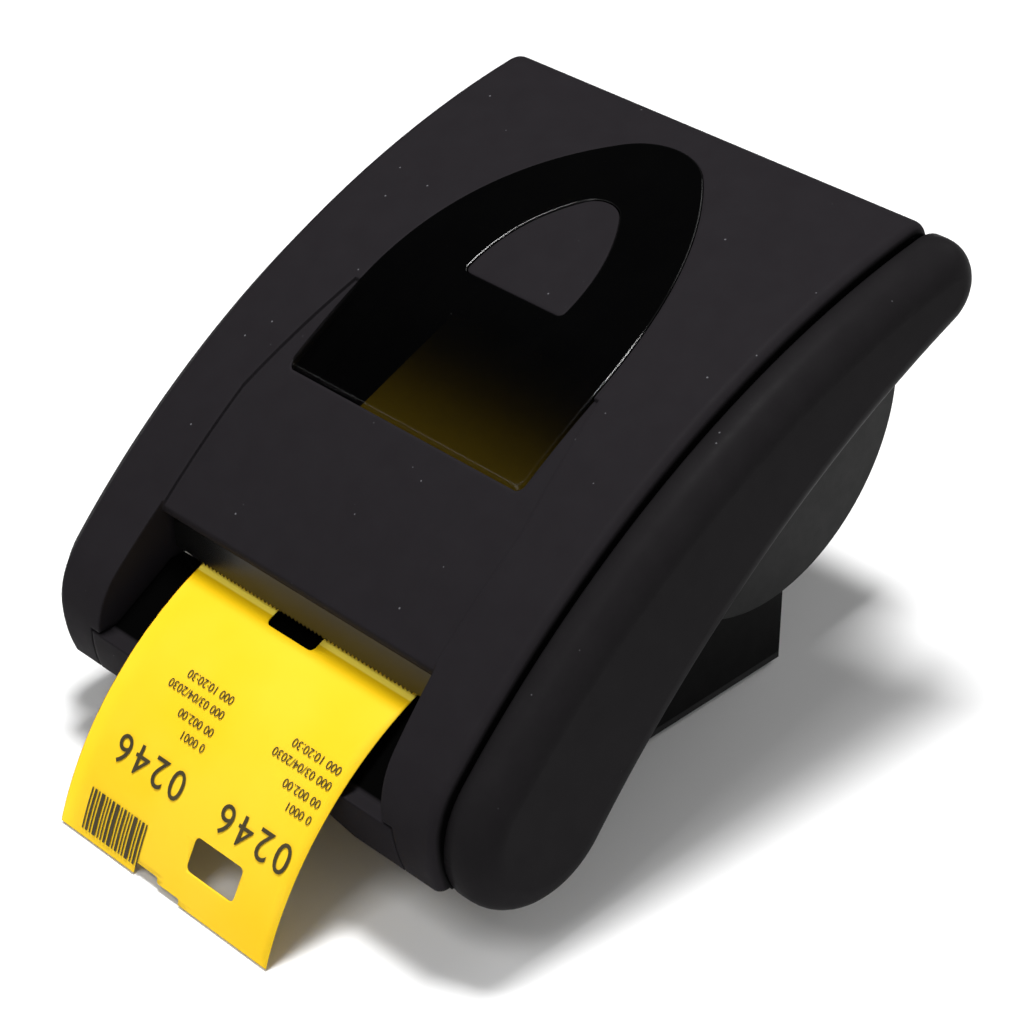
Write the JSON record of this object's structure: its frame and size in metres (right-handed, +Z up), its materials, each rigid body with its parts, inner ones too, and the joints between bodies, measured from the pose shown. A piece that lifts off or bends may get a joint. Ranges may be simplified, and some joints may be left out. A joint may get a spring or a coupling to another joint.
{
  "type": "ticket printer",
  "caption": "Counter-top ticket printer with an arched hinged lid, a smoked window with a feed button, a roll tub on a pedestal and a hanging ticket.",
  "frame": {"origin": "under the middle of the printer and its hanging ticket, on the counter", "axes": "+X to the printer's right seen from the front, +Y to the rear, +Z up"},
  "size_m": [0.1712, 0.2344, 0.1469],
  "materials": {
    "soft_black": "soft-touch matte",
    "cheek_black": "fine satin grain",
    "case_grey": "fine moulded grain",
    "gloss_black": "high gloss",
    "steel": "brushed",
    "heat_sink": "extruded",
    "head_ceramic": "glazed",
    "rubber": "matte",
    "circuit_board": "solder mask",
    "white_plastic": "natural acetal",
    "pinion_brass": "machined",
    "ticket_stock": "coated thermal stock",
    "core_board": "wound board"
  },
  "bodies": {
    "base": {"pedestal": "case_grey", "base_plate": "case_grey", "rubber_feet": "rubber", "base_screws": "steel", "roll_tub": "case_grey", "lower_case": "case_grey", "side_frames": "steel", "platen_bushes": "white_plastic", "stepper_motor": "steel", "idler_axle": "steel", "tie_bar": "steel", "media_sensor": "gloss_black", "main_board": "circuit_board", "power_inlet": "gloss_black", "data_socket": "steel", "switch_frame": "gloss_black", "hinge_brackets": "steel", "hinge_pins": "steel", "paper_web": "ticket_stock", "ticket": "ticket_stock"},
    "lid": {"top_cover": "soft_black", "left_cheek": "cheek_black", "right_cheek": "cheek_black", "window": "gloss_black", "exit_guide": "gloss_black", "tear_bar": "gloss_black", "lid_arms": "case_grey", "head_bracket": "case_grey", "button_board": "circuit_board", "tact_switch": "steel"},
    "button": {"feed_button": "soft_black"},
    "head": {"print_head": "head_ceramic", "head_sink": "heat_sink", "head_springs": "steel"},
    "rocker": {"power_rocker": "gloss_black"},
    "platen": {"platen_roller": "rubber", "platen_shaft": "steel", "platen_gear": "white_plastic"},
    "idler": {"idler_gear": "white_plastic"},
    "pinion": {"motor_pinion": "pinion_brass"},
    "roll": {"paper_roll": "ticket_stock", "roll_core": "core_board", "roll_spindle": "case_grey"}
  },
  "joints": [
    {"name": "lid_hinge", "type": "hinge", "parent": "base", "child": "lid", "pos_m": [0, 0.08182, 0.131], "axis": [-1, 0, 0], "range_deg": [0, 75]},
    {"name": "button_press", "type": "slide", "parent": "lid", "child": "button", "axis": [0, 0.3369, -0.9415], "range_m": [0, 0.001], "stiffness_N_per_m": 1500},
    {"name": "head_float", "type": "slide", "parent": "lid", "child": "head", "axis": [0, -0.3827, 0.9239], "range_m": [0, 0.0008], "stiffness_N_per_m": 4000},
    {"name": "power_rock", "type": "hinge", "parent": "base", "child": "rocker", "pos_m": [-0.028, 0.06922, 0.0135], "axis": [1, 0, 0], "range_deg": [0, 12]},
    {"name": "roll_spin", "type": "hinge", "parent": "base", "child": "roll", "pos_m": [0, 0.06552, 0.0765], "axis": [1, 0, 0], "continuous": true},
    {"name": "platen_spin", "type": "hinge", "parent": "base", "child": "platen", "pos_m": [0, -0.05116, 0.05506], "axis": [1, 0, 0], "continuous": true},
    {"name": "idler_spin", "type": "hinge", "parent": "base", "child": "idler", "pos_m": [0, -0.03979, 0.06902], "axis": [1, 0, 0], "continuous": true},
    {"name": "pinion_spin", "type": "hinge", "parent": "base", "child": "pinion", "pos_m": [0, -0.02916, 0.05706], "axis": [1, 0, 0], "continuous": true}
  ],
  "couplings": [
    {"joint": "platen_spin", "follows": "roll_spin", "ratio": 4.5491},
    {"joint": "idler_spin", "follows": "roll_spin", "ratio": -3.6393},
    {"joint": "pinion_spin", "follows": "roll_spin", "ratio": 6.0655}
  ]
}
